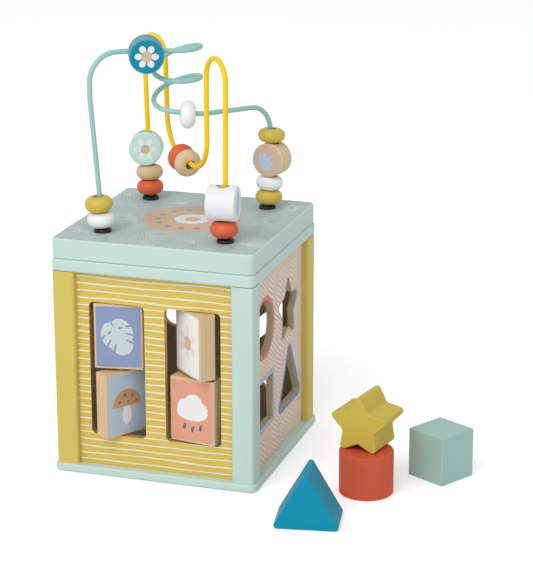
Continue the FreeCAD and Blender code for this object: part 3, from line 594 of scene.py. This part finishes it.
def picture_block(node, turn, picture):
    """Bare beech with one picture on both broad sides."""
    low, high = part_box(node)
    middle = (low + high) / 2
    angle = math.radians(turn)
    across = Vector((math.cos(angle), math.sin(angle), 0.0))
    out = Vector((math.sin(angle), -math.cos(angle), 0.0))
    half_wide = block_wide / 2 - print_margin - print_corner
    half_high = (high.z - low.z) / 2 - print_margin - print_corner

    def surface(place):
        wood = bare_wood(beech, beech_dark, 2)(place)
        u = place.along(across) - middle.dot(across)
        v = place.parts()[2] - middle.z
        w = place.along(out) - middle.dot(out)
        inside = off_rectangle(u, v, half_wide, half_high).below(print_corner, 0.00015)
        inked = inside * (1.0 - abs(w).below(print_face, crisp))
        # the same picture reads the right way round from both sides
        side = w.maths("SIGN")
        wood["Base Color"] = mixed(place, wood["Base Color"], picture(u * side, v, place), inked)
        return wood

    return surface


for node, turn, picture in (
    ("picture_block_upper_left", 9.7, leaf_picture),
    ("picture_block_lower_left", 56.0, toadstool_picture),
    ("picture_block_upper_right", -42.2, blossom_picture),
    ("picture_block_lower_right", -9.2, cloud_picture),
):
    wear(finish(node, picture_block(node, turn, picture)), node)

# Bead-maze wires ------------------------------------------------------------------------------------
# 3.7 mm steel wire bent on a jig and dipped in gloss enamel, which lies smooth and slightly thick.
# Both ends of each wire pass through the lid and are held by nuts in pockets under it.


def enamel(paint, deeper):
    """Gloss enamel that has flowed a little before it set."""

    def surface(place):
        flow = place.cloud(70.0, 1.0)
        return {
            "Base Color": mixed(place, paint, deeper, flow * 0.5),
            "Roughness": 0.16 + 0.1 * flow,
            "Normal": relief(place.cloud(400.0, 1.0), 0.00002),
        }

    return surface


yellow_enamel = enamel(pigment(250, 210, 0), pigment(240, 196, 0))
mint_enamel = enamel(pigment(162, 204, 196), pigment(146, 190, 182))
wear(finish("yellow_enamel", yellow_enamel, Specular_IOR_Level=0.25), "yellow_wire")
wear(finish("mint_enamel", mint_enamel, Specular_IOR_Level=0.4), "mint_wire")

# Round beads ----------------------------------------------------------------------------------------
# Turned hardwood, drilled and tumble-painted, so each one is a little uneven. Two are left bare with
# a clear coat. They are threaded on the wires before the wires go into the lid.

lathe_rings_in_a_metre = 1500.0


def bead_axis(node):
    """The way a bead's bore points, from the joint it moves on."""
    return next(Vector(j["axis"]) for j in frame["joints"] if j["child"] == node)


def turned_paint(paint, node):
    """Paint over the faint rings that a lathe leaves round the bore."""
    axis = bead_axis(node)
    shade = darkened(paint, 0.86)

    def surface(place):
        rings = place.along(axis) * lathe_rings_in_a_metre
        ridge = rings.node("TexNoise", {"noise_dimensions": "1D"}, {"W": rings, "Scale": 1.0, "Detail": 1.0})
        patch = place.cloud(90.0)
        return {
            "Base Color": mixed(place, paint, shade, patch * 0.4 + ridge * 0.1),
            "Roughness": 0.28 + 0.1 * patch,
            "Normal": relief(ridge, 0.00003),
        }

    return surface


bead_paints = {
    "white": pigment(246, 246, 246),
    "mustard": pigment(214, 188, 78),
    "red": pigment(226, 102, 62),
}
for node in sorted(name for name in nodes if name.startswith("bead_")):
    colour = node.split("_")[1]
    if colour == "wood":
        wear(finish(node, bare_wood(beech, beech_dark, 2)), node)
    else:
        wear(finish(node, turned_paint(bead_paints[colour], node), Specular_IOR_Level=0.35), node)

# Flat discs and the drum ----------------------------------------------------------------------------
# Slices of dowel with softened rims, drilled across and printed on both ends with a small flower,
# a sprig or a leaf.

disc_half = 0.008
drum_half = 0.01075
sprig_foot = Vector((-0.0036, -0.0066))
# each blade of the sprig: its turn from level and its half length
sprig_blades = ((8.0, 0.0036), (34.0, 0.0052), (58.0, 0.0062), (82.0, 0.0064), (106.0, 0.0056))


def facing(turn, bore):
    """Across, out and up for a disc that is turned by some degrees about its bore."""
    angle = math.radians(turn)
    tilt = Vector((0, 0, 1)).rotation_difference(bore)
    across = tilt @ Vector((math.cos(angle), math.sin(angle), 0.0))
    out = tilt @ Vector((math.sin(angle), -math.cos(angle), 0.0))
    return across, out, out.cross(across)


def level_bore_facing(lean, bore):
    """The same for the disc whose bore lies across its print and whose face leans forward."""
    angle = math.atan2(bore.y, bore.x)
    drop = math.radians(lean)
    out = Vector((math.sin(angle) * math.cos(drop), -math.cos(angle) * math.cos(drop), -math.sin(drop)))
    return bore, out, out.cross(bore)


def daisy_print(ink, distance, long, wide, heart):
    """Six petals round a tan heart."""

    def picture(u, v, place, ground):
        inked = mixed(place, ground, ink, ring_of_petals(u, v, 6, distance, long, wide))
        return mixed(place, inked, pigment(208, 186, 158), circle(u, v, 0.0, 0.0, heart))

    return picture


def sprig_print(u, v, place, ground):
    """Five pale blades that spread from one foot."""
    inked = ground
    for turn, long in sprig_blades:
        angle = math.radians(turn)
        middle = sprig_foot + long * Vector((math.cos(angle), math.sin(angle)))
        inked = mixed(place, inked, pigment(190, 204, 220), oval(u, v, *middle, long, 0.0018, turn))
    return inked


def leaf_print(u, v, place, ground):
    """A pale blue leaf with a split middle."""
    leaf = oval(u, v, 0.0, 0.0, 0.0052, 0.0088, -14.0)
    vein = oval(u, v, 0.0, -0.001, 0.0005, 0.0080, -14.0)
    inked = mixed(place, ground, pigment(190, 202, 226), leaf)
    return mixed(place, inked, pigment(238, 238, 238), vein)


def printed_slice(node, directions, half_thick, paint, rim_paint, picture):
    """A painted disc whose two flat ends carry a print."""
    low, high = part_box(node)
    middle = (low + high) / 2
    across, out, up = directions

    def surface(place):
        patch = place.cloud(90.0)
        pores = place.cloud(900.0)
        u = place.along(across) - middle.dot(across)
        v = place.along(up) - middle.dot(up)
        w = place.along(out) - middle.dot(out)
        on_face = 1.0 - abs(w).below(half_thick - print_depth, crisp)
        ground = mixed(place, paint, darkened(paint, 0.88), patch * 0.5)
        rim = mixed(place, rim_paint, darkened(rim_paint, 0.86), patch * 0.5)
        side = w.maths("SIGN")
        return {
            "Base Color": mixed(place, rim, picture(u * side, v, place, ground), on_face),
            "Roughness": 0.4 + 0.14 * patch,
            "Normal": relief(pores, 0.00002),
        }

    return surface


blue = pigment(0, 138, 170)
mint_disc = pigment(208, 234, 226)
disc_wood = pigment(214, 188, 166)
white = pigment(238, 238, 238)
pale_ink = pigment(236, 237, 235)
blue_rim = pigment(108, 160, 178)
mint_daisy = daisy_print(pale_ink, 0.0060, 0.0029, 0.0021, 0.0034)
blue_daisy = daisy_print(pale_ink, 0.0059, 0.0027, 0.0023, 0.0039)
for node, face_way, degrees, half_thick, paint, rim_paint, picture in (
    ("disc_mint_back_left", facing, 15.0, disc_half, mint_disc, mint_disc, mint_daisy),
    ("disc_wood_back_right", facing, -10.0, disc_half, disc_wood, beech, sprig_print),
    ("drum_white_front_right", facing, 96.0, drum_half, white, white, leaf_print),
    ("disc_blue_shoulder", level_bore_facing, 3.0, disc_half, blue, blue_rim, blue_daisy),
):
    directions = face_way(degrees, bead_axis(node))
    surface = printed_slice(node, directions, half_thick, paint, rim_paint, picture)
    wear(finish(node, surface, Specular_IOR_Level=0.25), node)

# Loose sorting blocks and the track's knob ----------------------------------------------------------
# Solid beech, sawn and sanded with just-softened edges, and painted all over. The blocks lie loose
# on the table; the knob runs in the back panel's slot, held by a screw and a washer inside the box.

for node, paint, along in (
    ("sorter_cylinder", pigment(212, 92, 62), 2),
    ("sorter_star", pigment(210, 184, 76), 1),
    ("sorter_cube", pigment(166, 200, 190), 2),
    ("sorter_prism", pigment(0, 146, 176), 1),
    ("track_knob", pigment(212, 92, 62), 2),
):
    wear(finish(node + "_paint", painted(paint, along, 0.9), Specular_IOR_Level=0.18), node)

# Studio ---------------------------------------------------------------------------------------------
# A pale paper floor without an edge in view, one large soft lamp in front and above, and a bright
# room. The paper's faint glow reaches the camera only, so it whitens the floor and lights nothing.

floor_reach = 12.0
floor_drop = 0.0002
lamp_place = Vector((-0.3, -1.9, 2.1))
lamp_aim = Vector((0.0, 0.0, 0.12))
camera_place = Vector((0.514587, -1.420287, 0.591295))
camera_turn = math.radians(17.683)
camera_height = math.radians(16.995)
camera_roll = math.radians(-0.085)


def floor_paper(place):
    paper = mixed(place, pigment(245, 245, 245), pigment(242, 242, 242), place.cloud(3.0))
    seen = place.node("LightPath", out="Is Camera Ray")
    glow = mixed(place, pigment(0, 0, 0), pigment(255, 255, 255), seen)
    return {"Base Color": paper, "Emission Color": glow}


floor_mesh = bpy.data.meshes.new("floor")
floor_corners = [(x * floor_reach, y * floor_reach, 0.0) for x, y in ((-1, -1), (1, -1), (1, 1), (-1, 1))]
floor_mesh.from_pydata(floor_corners, [], [(0, 1, 2, 3)])
floor_mesh.materials.append(finish("paper_floor", floor_paper, Roughness=0.9, Emission_Strength=0.32))
floor = bpy.data.objects.new("floor", floor_mesh)
floor.location.z = -floor_drop
bpy.context.collection.objects.link(floor)

room = bpy.data.worlds.new("room")
room.use_nodes = True
room_light = room.node_tree.nodes["Background"].inputs
room_light["Color"].default_value = (0.97, 1.0, 1.02, 1.0)
room_light["Strength"].default_value = 0.66
bpy.context.scene.world = room

light = bpy.data.lights.new("key", "AREA")
light.shape = "DISK"
light.size = 2.0
light.energy = 33.0
lamp = bpy.data.objects.new("key", light)
lamp.location = lamp_place
lamp.rotation_euler = (lamp_aim - lamp_place).to_track_quat("-Z", "Y").to_euler()
bpy.context.collection.objects.link(lamp)

back_x = math.sin(camera_turn) * math.cos(camera_height)
back_y = -math.cos(camera_turn) * math.cos(camera_height)
back = Vector((back_x, back_y, math.sin(camera_height)))
level = Vector((math.cos(camera_turn), math.sin(camera_turn), 0.0))
upright = back.cross(level)
right = level * math.cos(camera_roll) + upright * math.sin(camera_roll)
up = upright * math.cos(camera_roll) - level * math.sin(camera_roll)
lens = bpy.data.cameras.new("camera")
lens.lens = 135.49
lens.sensor_width = 36.0
lens.clip_start = 0.05
camera = bpy.data.objects.new("camera", lens)
camera.matrix_world = Matrix.Translation(camera_place) @ Matrix((right, up, back)).transposed().to_4x4()
bpy.context.collection.objects.link(camera)
bpy.context.scene.camera = camera
bpy.context.scene.view_settings.view_transform = "Standard"
